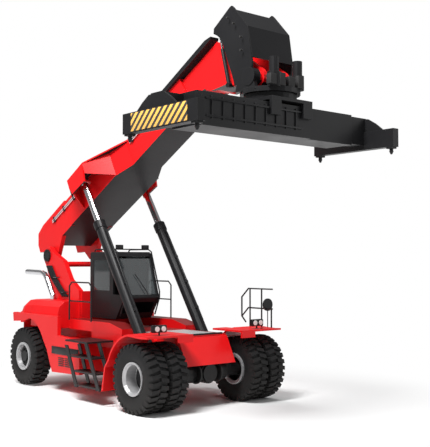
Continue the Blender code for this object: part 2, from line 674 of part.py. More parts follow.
def gusset(outer, inner, low, outer_low, top, thick=0.04):
    """A tapering wall from the boom's lower corner out to the bracket's edge."""
    (a0, x0), (a1, x1) = outer, inner
    along = Vector((x1 - x0, -(a1 - a0))).normalized()
    side = Vector((-along.y, along.x)) * thick / 2
    verts = []
    for sign in (1, -1):
        sx, sy = side * sign
        verts += [(x0 + sx, -a0 + sy, outer_low), (x1 + sx, -a1 + sy, low),
                  (x1 + sx, -a1 + sy, top), (x0 + sx, -a0 + sy, top)]
    faces = [[0, 1, 2, 3], [7, 6, 5, 4], [0, 4, 5, 1], [1, 5, 6, 2], [2, 6, 7, 3], [3, 7, 4, 0]]
    return in_boom(outward(raw(verts, faces)))


def boom_inner():
    """The sliding section with its drooping nose, whose eye holds the head's pin."""
    half = 0.40
    top = 0.94
    beam = boom_prism([(0.68, BOOM_BOTTOM + 0.06), (7.70, BOOM_BOTTOM + 0.06), (7.70, top),
                       (0.68, top)], -half, half)
    bore = boom_prism([(0.55, BOOM_BOTTOM + 0.10), (6.90, BOOM_BOTTOM + 0.10), (6.90, top - 0.04),
                       (0.55, top - 0.04)], -half + 0.04, half - 0.04)
    a, d = HEAD_PIN
    neck = [(NOSE_START, 0.33), (7.70, 0.25), (7.90, 0.05), (8.35, -0.13), (8.72, -0.19), (8.88, -0.30)]
    neck += arc(a, d, 0.235, 200, 380, 9)
    neck += [(9.30, -0.15), (9.05, 0.45), (8.62, 0.93), (NOSE_START, 0.935)]
    cheeks = [boom_prism(neck, -half, -half + 0.10), boom_prism(neck, half - 0.10, half)]
    web = boom_prism([(7.60, 0.30), (7.95, 0.06), (8.35, -0.10), (8.72, -0.15), (8.95, -0.22),
                      (8.95, 0.10), (8.55, 0.80), (7.60, 0.90)], -half + 0.06, half - 0.06)
    eye = rod(boom_point(a, d, -half - 0.055), boom_point(a, d, half + 0.055), 0.17, 20)
    foot = DAMPER_FOOT
    shapes = [beam] + cheeks + [web, eye]
    lug = [(foot[0] - 0.10, -0.08), (foot[0] - 0.05, foot[1]), (foot[0] + 0.03, foot[1] - 0.04),
           (foot[0] + 0.07, foot[1] + 0.04), (foot[0] + 0.08, -0.08)]
    for sign in (1, -1):
        low, high = sorted((sign * (half - 0.04), sign * (half + 0.03)))
        shapes.append(boom_prism(lug, low, high))
        low, high = sorted((sign * (half + 0.01), sign * (DAMPER_X - 0.052)))
        shapes.append(rod(boom_point(*foot, low), boom_point(*foot, high), 0.045, 12))
    return piece("boom_inner", shapes, "red", pivot=boom_point(a, d), cuts=[bore])


def hose_tray():
    """Channel on the boom's top that carries the hoses to the head."""
    tray = boom_prism([(4.70, 1.005), (8.58, 0.9403 + 0.065), (8.62, 1.06), (8.40, 1.12),
                       (4.70, 1.12)], -0.55, -0.30)
    return piece("hose_tray", [tray], "black")


def cylinders():
    """Lift cylinders: barrels hinged at their feet, chrome rods to the bracket eyes."""
    eye = boom_point(*BRACKET_EYE)
    foot = CYLINDER_FOOT
    axis = (eye - foot).normalized()
    for side, sign in (("left", 1), ("right", -1)):
        x = Vector((sign * CYLINDER_X, 0, 0))
        low, high = foot + x, eye + x
        top = low + axis * BARREL_LENGTH
        barrel = [rod(low + axis * 0.12, top, 0.145, 20), rod(top - axis * 0.22, top, 0.165, 20),
                  rod(low - Vector((0.135, 0, 0)), low + Vector((0.135, 0, 0)), 0.17, 20)]
        bore = rod(low + axis * 0.55, top + axis * 0.1, 0.1003, 20)
        piece(f"lift_barrel_{side}", barrel, "black", pivot=low, cuts=[bore])
        shaft = [rod(low + axis * 1.85, high - axis * 0.10, 0.095, 20),
                 rod(high - Vector((0.11, 0, 0)), high + Vector((0.11, 0, 0)), 0.11, 20),
                 rod(high - Vector((0.16, 0, 0)), high + Vector((0.16, 0, 0)), 0.08, 16)]
        piece(f"lift_rod_{side}", shaft, "steel", pivot=high)


# ---- head and spreader ---------------------------------------------------------------
YOKE_HALF = 0.65
DAMPER_X = 0.53
DAMPER_TOP = (1.13, 1.22)      # rod eye, behind and above the head's pin
DAMPER_FOOT = (8.58, -0.34)    # barrel eye, along and above the boom from its pivot


def head_pin():
    return boom_point(*HEAD_PIN)


def head_yoke():
    """Hanging frame of the head: two cheek plates, a folded front plate, a round base."""
    pin = head_pin()
    y, z = pin.y, pin.z
    cheek = [(y - 0.06, z - 0.14), (y - 0.10, z + 0.32), (y + 0.03, z + 1.13), (y + 0.50, z + 1.64),
             (y + 0.57, z + 1.70), (y + 0.63, z + 1.68), (y + 1.19, z + 1.30), (y + 1.20, z + 1.18),
             (y + 1.08, z + 1.12), (y + 0.92, z + 1.00), (y + 0.50, z - 0.02), (y + 0.46, z - 0.14)]
    foot = [(y - 0.22, z - 0.30), (y - 0.06, z + 0.20), (y + 0.30, z + 0.20), (y + 0.44, z - 0.30)]
    front = [(y - 0.10, z + 0.42), (y + 0.03, z + 1.13), (y + 0.48, z + 1.60), (y + 0.50, z + 1.53),
             (y + 0.08, z + 1.09), (y - 0.05, z + 0.42)]
    shapes = [prism(front, -YOKE_HALF + 0.02, YOKE_HALF - 0.02, "X"),
              prism(arc(0.0, y, 0.68, 0, 345, 23), z - 0.36, z - 0.25, "Z")]
    ear = y + DAMPER_TOP[0], z + DAMPER_TOP[1]
    for sign in (1, -1):
        side = [prism(cheek, YOKE_HALF - 0.05, YOKE_HALF, "X"),
                prism(foot, YOKE_HALF - 0.09, YOKE_HALF + 0.004, "X"),
                rod((0.465, y, z), (YOKE_HALF + 0.02, y, z), 0.20, 20),
                rod((DAMPER_X + 0.036, *ear), (YOKE_HALF - 0.02, *ear), 0.06, 12),
                rod((0.36, y - 0.50, z - 0.27), (0.36, y - 0.50, z + 0.05), 0.15, 16),
                rod((0.36, y - 0.50, z), (0.36, y - 0.50, z + 0.38), 0.11, 16)]
        shapes += side if sign > 0 else [mirrored(s) for s in side]
    return piece("head_yoke", shapes, "black", pivot=pin)


def dampers():
    """Short cylinders that steady the hanging head: barrels on the nose, rods on the yoke."""
    pin = head_pin()
    high = Vector((0, pin.y + DAMPER_TOP[0], pin.z + DAMPER_TOP[1]))
    low = boom_point(*DAMPER_FOOT)
    axis = (high - low).normalized()
    half = Vector((0.034, 0, 0))
    for side, sign in (("left", 1), ("right", -1)):
        x = Vector((sign * DAMPER_X, 0, 0))
        a, b = low + x, high + x
        barrel = [rod(a + axis * 0.04, a + axis * 0.90, 0.048, 14),
                  rod(a - half * 1.47, a + half * 1.47, 0.06, 14)]
        bore = rod(a + axis * 0.10, a + axis * 1.0, 0.0303, 14)
        piece(f"damper_barrel_{side}", barrel, "black", pivot=a, cuts=[bore])
        shaft = [rod(a + axis * 0.44, b - axis * 0.04, 0.025, 14), rod(b - half, b + half, 0.055, 14)]
        piece(f"damper_rod_{side}", shaft, "steel", pivot=b)


def side_shift_carriage():
    """Saddle under the slew ring; its legs hold the rails of the spreader frame."""
    pin = head_pin()
    y, cy = pin.y, SPREADER_Y
    ring_top = pin.z - 0.37
    shapes = [prism(arc(0.0, y, 0.60, 0, 345, 23), 7.02, ring_top, "Z"),
              box(-0.62, 0.62, cy - 0.69, cy + 0.49, FRAME_TOP + 0.01, 7.04)]
    for x in (-0.48, 0.48):
        shapes.append(box(x - 0.14, x + 0.14, cy - 0.688, cy - 0.612, 6.64, 7.03))
        shapes.append(box(x - 0.14, x + 0.14, cy + 0.415, cy + 0.488, 6.64, 7.03))
    return piece("side_shift_carriage", shapes, "black", pivot=(0, pin.y, ring_top))


def spreader_frame():
    """Two box tubes side by side, each open at the end where its beam comes out."""
    cx, cy = SPREADER_X, SPREADER_Y
    half = FRAME_HALF_LONG
    shapes = [box(cx - half, cx + half, cy - FRAME_HALF_WIDE, cy + FRAME_HALF_WIDE,
                  FRAME_BOTTOM, FRAME_TOP),
              box(cx - half - 0.02, cx + 0.74, cy - 0.60, cy - FRAME_HALF_WIDE + 0.01,
                  FRAME_BOTTOM - 0.02, FRAME_TOP - 0.05)]
    cuts = []
    for sign in (1, -1):
        x0, x1 = sorted((cx - sign * (half - 0.05), cx + sign * (half + 0.10)))
        y0, y1 = sorted((cy - sign * 0.012, cy - sign * (FRAME_HALF_WIDE - 0.012)))
        cuts.append(box(x0, x1, y0, y1, FRAME_BOTTOM + 0.025, FRAME_TOP - 0.025))
    return piece("spreader_frame", shapes, "black", pivot=(cx, cy, FRAME_BOTTOM), cuts=cuts)


def spreader_arm(side, sign):
    """Telescopic beam with its end beam, gussets and two twistlocks."""
    cx, cy = SPREADER_X, SPREADER_Y
    lock_x = cx + sign * LOCK_LONG / 2
    x0, x1 = sorted((cx - sign * (FRAME_HALF_LONG - 0.12), lock_x))
    y0, y1 = sorted((cy - sign * 0.018, cy - sign * (FRAME_HALF_WIDE - 0.018)))
    low, top = FRAME_BOTTOM + 0.031, FRAME_TOP - 0.031
    shapes = [box(x0, x1, y0, y1, low, top)]
    half = LOCK_WIDE / 2
    e0, e1 = sorted((lock_x - sign * 0.09, lock_x + sign * 0.10))
    shapes.append(box(e0, e1, cy - half - 0.13, cy + half + 0.13, 6.17, 6.60))
    g0, g1 = sorted((lock_x - sign * 0.05, lock_x + sign * 0.002))
    middle = (y0 + y1) / 2
    outline = [(middle - 0.26, top - 0.02), (middle + 0.26, top - 0.02), (middle + 0.48, 6.78),
               (middle + 0.74, 6.58), (middle - 0.74, 6.58), (middle - 0.48, 6.78)]
    shapes.append(prism(outline, g0, g1, "X"))
    for edge in (-1, 1):
        y = cy + edge * half
        shapes.append(rod((lock_x, y, 6.06), (lock_x, y, 6.20), 0.045, 12))
        shapes.append(rod((lock_x, y, LOCK_TIP), (lock_x, y, 6.075), 0.02, 12, end_radius=0.055))
        shapes.append(box(lock_x - 0.085, lock_x + 0.085, y - 0.085, y + 0.085, 6.13, 6.22))
    return piece(f"spreader_arm_{side}", shapes, "black", pivot=(lock_x, cy, FRAME_BOTTOM))


def build():
    clear_scene()
    machine = bpy.data.objects.new("machine", None)
    machine.location = DATUM_SHIFT
    bpy.context.scene.collection.objects.link(machine)
    chassis_frame()
    deck()
    fenders()
    boom_towers()
    engine_hood()
    body_sides()
    side_tanks()
    counterweight()
    engine_block()
    exhaust_stack()
    ladders()
    handrails()
    cab_shell()
    cab_door()
    cab_glass()
    cab_fittings()
    drive_axle()
    wheels()
    steer_axle()
    knuckles()
    boom_outer()
    boom_inner()
    hose_tray()
    cylinders()
    head_yoke()
    dampers()
    side_shift_carriage()
    spreader_frame()
    spreader_arm("left", 1)
    spreader_arm("right", -1)


build()
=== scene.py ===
"""Looks for the reach stacker: paint, rubber, chrome and glass, tyre tread, rails and lamps."""
import json
import math

import bmesh
import bpy
from mathutils import Matrix, Vector


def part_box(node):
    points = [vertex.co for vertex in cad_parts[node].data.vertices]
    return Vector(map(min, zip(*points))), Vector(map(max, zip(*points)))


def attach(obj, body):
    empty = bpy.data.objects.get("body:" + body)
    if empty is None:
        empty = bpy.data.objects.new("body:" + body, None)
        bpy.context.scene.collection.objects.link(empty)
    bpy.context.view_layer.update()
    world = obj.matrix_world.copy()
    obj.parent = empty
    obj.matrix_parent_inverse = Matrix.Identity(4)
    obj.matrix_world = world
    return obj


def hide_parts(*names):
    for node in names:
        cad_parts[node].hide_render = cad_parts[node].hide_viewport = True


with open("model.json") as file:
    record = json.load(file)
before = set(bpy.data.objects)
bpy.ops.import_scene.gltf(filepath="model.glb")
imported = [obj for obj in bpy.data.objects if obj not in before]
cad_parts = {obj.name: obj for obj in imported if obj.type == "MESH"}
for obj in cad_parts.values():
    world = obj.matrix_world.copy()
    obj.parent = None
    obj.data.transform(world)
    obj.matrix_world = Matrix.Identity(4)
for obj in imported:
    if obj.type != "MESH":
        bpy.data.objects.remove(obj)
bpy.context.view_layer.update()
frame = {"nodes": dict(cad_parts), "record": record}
NODES = frame["nodes"]


# ---- places, from the frame ----------------------------------------------------------
def span(node):
    low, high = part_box(node)
    return Vector(low), Vector(high)


def middle(node):
    low, high = span(node)
    return (low + high) / 2


JOINTS = {joint["name"]: joint for joint in frame["record"]["behaviour"]["joints"]}
PIVOT = Vector(JOINTS["boom_lift"]["pos_m"])
ALONG = -Vector(JOINTS["boom_extend"]["axis"])
ABOVE = Vector((0.0, ALONG.z, -ALONG.y))
HEAD_PIN = Vector(JOINTS["head_level"]["pos_m"])


def boom_point(along, above, x=0.0):
    """A point from the boom's pivot, along the boom and square above it."""
    return PIVOT + ALONG * along + ABOVE * above + Vector((x, 0.0, 0.0))


# ---- shared shader groups ------------------------------------------------------------
def new_group(name, inputs, outputs):
    group = bpy.data.node_groups.new(name, "ShaderNodeTree")
    for label, kind, value in inputs:
        socket = group.interface.new_socket(label, in_out="INPUT", socket_type=kind)
        socket.default_value = value
    for label, kind in outputs:
        group.interface.new_socket(label, in_out="OUTPUT", socket_type=kind)
    ins = group.nodes.new("NodeGroupInput")
    outs = group.nodes.new("NodeGroupOutput")
    return group, ins, outs


def wear_group():
    """Paint wear: cloudy fading, dust low down and rubbed edges, as masks and a bump height."""
    group, ins, outs = new_group(
        "PaintWear",
        [("Scale", "NodeSocketFloat", 1.5), ("Dust Height", "NodeSocketFloat", 1.6)],
        [("Cloud", "NodeSocketFloat"), ("Dust", "NodeSocketFloat"), ("Edge", "NodeSocketFloat"),
         ("Height", "NodeSocketFloat")])
    nodes, links = group.nodes, group.links
    place = nodes.new("ShaderNodeNewGeometry")
    cloud = nodes.new("ShaderNodeTexNoise")
    cloud.inputs["Detail"].default_value = 5.0
    links.new(place.outputs["Position"], cloud.inputs["Vector"])
    links.new(ins.outputs["Scale"], cloud.inputs["Scale"])
    links.new(cloud.outputs["Fac"], outs.inputs["Cloud"])
    split = nodes.new("ShaderNodeSeparateXYZ")
    links.new(place.outputs["Position"], split.inputs["Vector"])
    low = nodes.new("ShaderNodeMapRange")
    low.inputs["From Min"].default_value = 0.0
    low.inputs["To Min"].default_value = 1.0
    low.inputs["To Max"].default_value = 0.0
    links.new(split.outputs["Z"], low.inputs["Value"])
    links.new(ins.outputs["Dust Height"], low.inputs["From Max"])
    dust = nodes.new("ShaderNodeMath")
    dust.operation = "MULTIPLY"
    links.new(low.outputs["Result"], dust.inputs[0])
    links.new(cloud.outputs["Fac"], dust.inputs[1])
    links.new(dust.outputs["Value"], outs.inputs["Dust"])
    round_edge = nodes.new("ShaderNodeBevel")
    round_edge.samples = 4
    round_edge.inputs["Radius"].default_value = 0.012
    turn = nodes.new("ShaderNodeVectorMath")
    turn.operation = "DOT_PRODUCT"
    links.new(round_edge.outputs["Normal"], turn.inputs[0])
    links.new(place.outputs["True Normal"], turn.inputs[1])
    edge = nodes.new("ShaderNodeMapRange")
    edge.inputs["From Min"].default_value = 0.98
    edge.inputs["From Max"].default_value = 0.80
    links.new(turn.outputs["Value"], edge.inputs["Value"])
    links.new(edge.outputs["Result"], outs.inputs["Edge"])
    fine = nodes.new("ShaderNodeTexNoise")
    fine.inputs["Scale"].default_value = 90.0
    links.new(place.outputs["Position"], fine.inputs["Vector"])
    links.new(fine.outputs["Fac"], outs.inputs["Height"])
    return group


def stripes_group():
    """Slanting hazard bands across a flat board: 0 on one colour, 1 on the other."""
    group, ins, outs = new_group("HazardStripes", [("Width", "NodeSocketFloat", 0.20)],
                                 [("Band", "NodeSocketFloat")])
    nodes, links = group.nodes, group.links
    place = nodes.new("ShaderNodeTexCoord")
    split = nodes.new("ShaderNodeSeparateXYZ")
    links.new(place.outputs["Object"], split.inputs["Vector"])
    total = nodes.new("ShaderNodeMath")
    total.operation = "ADD"
    links.new(split.outputs["Y"], total.inputs[0])
    links.new(split.outputs["Z"], total.inputs[1])
    shifted = nodes.new("ShaderNodeMath")
    shifted.operation = "DIVIDE"
    links.new(total.outputs["Value"], shifted.inputs[0])
    links.new(ins.outputs["Width"], shifted.inputs[1])
    part = nodes.new("ShaderNodeMath")
    part.operation = "FRACT"
    links.new(shifted.outputs["Value"], part.inputs[0])
    half = nodes.new("ShaderNodeMath")
    half.operation = "GREATER_THAN"
    half.inputs[1].default_value = 0.5
    links.new(part.outputs["Value"], half.inputs[0])
    links.new(half.outputs["Value"], outs.inputs["Band"])
    return group


WEAR = wear_group()
STRIPES = stripes_group()


# ---- materials -----------------------------------------------------------------------
def mix_colour(tree, factor, first, second):
    mix = tree.nodes.new("ShaderNodeMix")
    mix.data_type = "RGBA"
    for slot_index, value in ((6, first), (7, second)):
        if isinstance(value, tuple):
            mix.inputs[slot_index].default_value = value
        else:
            tree.links.new(value, mix.inputs[slot_index])
    tree.links.new(factor, mix.inputs[0])
    return mix.outputs[2]


def scaled(tree, value, factor, added=0.0):
    step = tree.nodes.new("ShaderNodeMath")
    step.operation = "MULTIPLY_ADD"
    step.inputs[1].default_value = factor
    step.inputs[2].default_value = added
    tree.links.new(value, step.inputs[0])
    return step.outputs["Value"]


def new_material(name):
    material = bpy.data.materials.new(name)
    material.use_nodes = True
    return material, material.node_tree, material.node_tree.nodes["Principled BSDF"]


def painted(name, colour, faded, worn, roughness, dust=0.25, bump=0.02, metallic=0.0):
    """Paint with cloudy fading, dust towards the ground and rubbed edges."""
    material, tree, shader = new_material(name)
    wear = tree.nodes.new("ShaderNodeGroup")
    wear.node_tree = WEAR
    base = mix_colour(tree, scaled(tree, wear.outputs["Cloud"], 0.6), colour, faded)
    base = mix_colour(tree, scaled(tree, wear.outputs["Edge"], 0.45), base, worn)
    base = mix_colour(tree, scaled(tree, wear.outputs["Dust"], dust), base, (0.22, 0.19, 0.16, 1))
    tree.links.new(base, shader.inputs["Base Color"])
    rough = scaled(tree, wear.outputs["Cloud"], 0.18, roughness - 0.06)
    tree.links.new(rough, shader.inputs["Roughness"])
    shader.inputs["Metallic"].default_value = metallic
    shader.inputs["Specular IOR Level"].default_value = 0.22
    relief = tree.nodes.new("ShaderNodeBump")
    relief.inputs["Strength"].default_value = bump
    relief.inputs["Distance"].default_value = 0.002
    tree.links.new(wear.outputs["Height"], relief.inputs["Height"])
    tree.links.new(relief.outputs["Normal"], shader.inputs["Normal"])
    return material


def two_sided(name, first, second, direction, limit):
    """Colour that changes on faces that look more than limit towards direction: black paint under the
    boom, painted shade on the deck tops.
    """
    material = first.copy()
    material.name = name
    tree = material.node_tree
    shader = tree.nodes["Principled BSDF"]
    place = tree.nodes.new("ShaderNodeTexCoord")
    facing = tree.nodes.new("ShaderNodeVectorMath")
    facing.operation = "DOT_PRODUCT"
    facing.inputs[1].default_value = direction
    tree.links.new(place.outputs["Normal"], facing.inputs[0])
    mask = tree.nodes.new("ShaderNodeMath")
    mask.operation = "GREATER_THAN"
    mask.inputs[1].default_value = limit
    tree.links.new(facing.outputs["Value"], mask.inputs[0])
    base = shader.inputs["Base Color"].links[0].from_socket
    mixed = mix_colour(tree, mask.outputs["Value"], base, second)
    tree.links.new(mixed, shader.inputs["Base Color"])
    return material


def hazard(name):
    material, tree, shader = new_material(name)
    bands = tree.nodes.new("ShaderNodeGroup")
    bands.node_tree = STRIPES
    wear = tree.nodes.new("ShaderNodeGroup")
    wear.node_tree = WEAR
    base = mix_colour(tree, bands.outputs["Band"], (0.90, 0.50, 0.09, 1), (0.02, 0.02, 0.022, 1))
    base = mix_colour(tree, scaled(tree, wear.outputs["Cloud"], 0.15), base, (0.3, 0.25, 0.2, 1))
    tree.links.new(base, shader.inputs["Base Color"])
    shader.inputs["Roughness"].default_value = 0.4
    return material


def tinted_glass(name):
    material, tree, shader = new_material(name)
    wear = tree.nodes.new("ShaderNodeGroup")
    wear.node_tree = WEAR
    shader.inputs["Base Color"].default_value = (0.10, 0.115, 0.12, 1)
    shader.inputs["Transmission Weight"].default_value = 0.7
    rough = scaled(tree, wear.outputs["Cloud"], 0.05, 0.01)
    tree.links.new(rough, shader.inputs["Roughness"])
    return material


RED = painted("MachineRed", (0.78, 0.008, 0.010, 1), (0.66, 0.008, 0.010, 1),
              (0.80, 0.03, 0.03, 1), 0.30, dust=0.06)
PALE = painted("PalePlate", (0.50, 0.50, 0.50, 1), (0.40, 0.40, 0.40, 1),
               (0.6, 0.6, 0.6, 1), 0.4, metallic=0.3)
DARK = painted("FrameBlack", (0.009, 0.009, 0.010, 1), (0.015, 0.015, 0.016, 1),
               (0.06, 0.06, 0.06, 1), 0.38, dust=0.10)
RUBBER = painted("TyreRubber", (0.008, 0.008, 0.009, 1), (0.015, 0.015, 0.015, 1),
                 (0.03, 0.03, 0.03, 1), 0.62, dust=0.10, bump=0.25)
SILVER = painted("RimSilver", (0.52, 0.52, 0.53, 1), (0.40, 0.40, 0.41, 1),
                 (0.65, 0.65, 0.65, 1), 0.36, metallic=0.5)
CHROME = painted("RodChrome", (0.75, 0.75, 0.77, 1), (0.62, 0.62, 0.64, 1),
                 (0.8, 0.8, 0.8, 1), 0.14, dust=0.05, metallic=1.0)
CLOTH = painted("CabCloth", (0.02, 0.02, 0.022, 1), (0.04, 0.04, 0.042, 1),
                (0.05, 0.05, 0.05, 1), 0.85, bump=0.5)
IRON = painted("CastIron", (0.020, 0.020, 0.021, 1), (0.035, 0.034, 0.033, 1),
               (0.15, 0.14, 0.13, 1), 0.65, bump=0.4)
LAMP = painted("LampLens", (0.75, 0.76, 0.74, 1), (0.68, 0.69, 0.68, 1),
               (0.8, 0.8, 0.8, 1), 0.15, dust=0.05)
HAZARD = hazard("HazardBands")
PANE = tinted_glass("CabGlass")


def rim_look(name, node):
    """Silver outer ring, a darker well and a near black hub, by distance from the axle line."""
    material = SILVER.copy()
    material.name = name
    tree = material.node_tree
    shader = tree.nodes["Principled BSDF"]
    centre = NODES[node].matrix_world.inverted() @ middle(node)
    place = tree.nodes.new("ShaderNodeTexCoord")
    offset = tree.nodes.new("ShaderNodeVectorMath")
    offset.operation = "SUBTRACT"
    offset.inputs[1].default_value = centre
    tree.links.new(place.outputs["Object"], offset.inputs[0])
    flat = tree.nodes.new("ShaderNodeVectorMath")
    flat.operation = "MULTIPLY"
    flat.inputs[1].default_value = (0.0, 1.0, 1.0)
    tree.links.new(offset.outputs["Vector"], flat.inputs[0])
    radius = tree.nodes.new("ShaderNodeVectorMath")
    radius.operation = "LENGTH"
    tree.links.new(flat.outputs["Vector"], radius.inputs[0])
    hub = tree.nodes.new("ShaderNodeMapRange")
    hub.inputs["From Min"].default_value = 0.300
    hub.inputs["From Max"].default_value = 0.292
    tree.links.new(radius.outputs["Value"], hub.inputs["Value"])
    base = shader.inputs["Base Color"].links[0].from_socket
    mixed = mix_colour(tree, hub.outputs["Result"], base, (0.018, 0.018, 0.019, 1))
    tree.links.new(mixed, shader.inputs["Base Color"])
    return material


BOOM_RED = two_sided("BoomPaint", RED, (0.012, 0.011, 0.012, 1), tuple(-ABOVE), 0.85)
# Upward faces of the deck get a darker copy of the same red: painted shade on the deck tops, not a second
# paint.
DECK_SHADED_TOP_RED = two_sided("DeckPaintShadedTop", RED, (0.20, 0.014, 0.014, 1), (0.0, 0.0, 1.0), 0.9)

SLOT_LOOKS = {"red_paint": RED, "black_paint": DARK, "tyre": RUBBER, "rim": SILVER, "glass": PANE,
              "chrome": CHROME, "seat": CLOTH, "iron": IRON}


OWN_LOOKS = {"boom_outer": BOOM_RED, "boom_inner": BOOM_RED, "deck": DECK_SHADED_TOP_RED,
             "front_rims_left": rim_look("FrontRim", "front_rims_left"),
             "front_rims_right": rim_look("FrontRimRight", "front_rims_right"),
             "rear_rim_left": rim_look("RearRim", "rear_rim_left"),
             "rear_rim_right": rim_look("RearRimRight", "rear_rim_right")}


def dress_nodes():
    """Give every CAD node the look of its material slot."""
    for entry in frame["record"]["subparts"]:
        node = NODES[entry["node"]]
        node.data.materials.clear()
        node.data.materials.append(OWN_LOOKS.get(entry["node"], SLOT_LOOKS[entry["material_slot"]]))


# ---- mesh makers ---------------------------------------------------------------------
def finished(name, mesh, look, body):
    piece = bpy.data.objects.new(name, mesh)
    bpy.context.scene.collection.objects.link(piece)
    mesh.materials.clear()
    mesh.materials.append(look)
    mesh.shade_smooth()
    mesh.set_sharp_from_angle(angle=math.radians(35))
    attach(piece, body)
    return piece


def bevelled_box(bm, low, high, width=0.006):
    low, high = Vector(low), Vector(high)
    made = bmesh.ops.create_cube(bm, size=1.0)["verts"]
    size = high - low
    centre = (high + low) / 2
    for vert in made:
        vert.co = Vector((vert.co.x * size.x, vert.co.y * size.y, vert.co.z * size.z)) + centre
    edges = {edge for vert in made for edge in vert.link_edges}
    bmesh.ops.bevel(bm, geom=list(edges), offset=width, segments=2, profile=0.5,
                    affect="EDGES")


def tube(bm, points, radius, sides=10):
    """A round bar along a bent path."""
    points = [Vector(p) for p in points]
    rings = []
    across = None
    for i, here in enumerate(points):
        ahead = points[min(i + 1, len(points) - 1)] - points[max(i - 1, 0)]
        along = ahead.normalized()
        if across is None:
            across = along.orthogonal().normalized()
        across = (across - along * across.dot(along)).normalized()
        up = along.cross(across)
        rings.append([bm.verts.new(here + across * (radius * math.cos(t))
                                   + up * (radius * math.sin(t)))
                      for t in (2 * math.pi * k / sides for k in range(sides))])
    for first, second in zip(rings, rings[1:]):
        for k in range(sides):
            j = (k + 1) % sides
            bm.faces.new((first[k], first[j], second[j], second[k]))
    bm.faces.new(rings[0][::-1])
    bm.faces.new(rings[-1])


def to_mesh(bm, name):
    bmesh.ops.recalc_face_normals(bm, faces=bm.faces)
    mesh = bpy.data.meshes.new(name)
    bm.to_mesh(mesh)
    bm.free()
    return mesh


# ---- tyres ---------------------------------------------------------------------------
LUGS = 30
LUG_DEPTH = 0.046


def treaded_tyre(node, body):
    """Carcass a lug's depth smaller than the CAD ring, with staggered lugs out to its radius."""
    low, high = span(node)
    centre = (low + high) / 2
    half = (high.x - low.x) / 2
    radius = (high.z - low.z) / 2
    bead = radius * 0.415
    profile = [(-half * 0.72, bead), (-half * 0.93, radius * 0.56), (-half, radius * 0.70),
               (-half * 0.975, radius * 0.85), (-half * 0.90, radius - LUG_DEPTH * 1.5),
               (-half * 0.78, radius - LUG_DEPTH), (half * 0.78, radius - LUG_DEPTH),
               (half * 0.90, radius - LUG_DEPTH * 1.5), (half * 0.975, radius * 0.85),
               (half, radius * 0.70), (half * 0.93, radius * 0.56), (half * 0.72, bead)]
    sides = 96
    bm = bmesh.new()
    rings = []
    for x, r in profile:
        rings.append([bm.verts.new(centre + Vector((x, r * math.cos(t), r * math.sin(t))))
                      for t in (2 * math.pi * k / sides for k in range(sides))])
    for first, second in zip(rings, rings[1:] + rings[:1]):
        for k in range(sides):
            j = (k + 1) % sides
            bm.faces.new((first[k], first[j], second[j], second[k]))
    step = 2 * math.pi / LUGS
    for row, sign in enumerate((-1, 1)):
        for k in range(LUGS):
            add_lug(bm, centre, half, radius, sign, step * (k + 0.5 * row), step)
    tyre = finished(f"tread_{node}", to_mesh(bm, node), RUBBER, body)
    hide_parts(node)


def add_lug(bm, centre, half, radius, sign, turn, step):
    """One tread bar, slanting from the middle of the tread over the shoulder."""
    outline = [(0.06, -0.06, 0.40), (0.58, 0.06, 0.62), (0.92, 0.14, 0.74), (1.0, 0.18, 0.78)]
    drops = (0.0, 0.0, 0.20, 2.2)
    top, base = [], []
    for (across, start, end), drop in zip(outline, drops):
        x = sign * across * half
        outer = radius - LUG_DEPTH * drop
        inner = radius - LUG_DEPTH * (drop + 1.4)
        x_in = x * (0.97 if across == 1.0 else 1.0)
        for part in (start, end):
            angle = turn + step * part
            cos, sin = math.cos(angle), math.sin(angle)
            top.append(bm.verts.new(centre + Vector((x, outer * cos, outer * sin))))
            base.append(bm.verts.new(centre + Vector((x_in, inner * cos, inner * sin))))
    for i in range(0, 2 * len(outline) - 2, 2):
        bm.faces.new((top[i], top[i + 1], top[i + 3], top[i + 2]))
        bm.faces.new((base[i], base[i + 2], base[i + 3], base[i + 1]))
        bm.faces.new((top[i], top[i + 2], base[i + 2], base[i]))
        bm.faces.new((top[i + 1], base[i + 1], base[i + 3], top[i + 3]))
    bm.faces.new((top[0], base[0], base[1], top[1]))
    bm.faces.new((top[-2], top[-1], base[-1], base[-2]))


def tyres():
    for side in ("left", "right"):
        treaded_tyre(f"front_tyre_inner_{side}", f"front_wheel_{side}")
        treaded_tyre(f"front_tyre_outer_{side}", f"front_wheel_{side}")
        treaded_tyre(f"rear_tyre_{side}", f"rear_wheel_{side}")


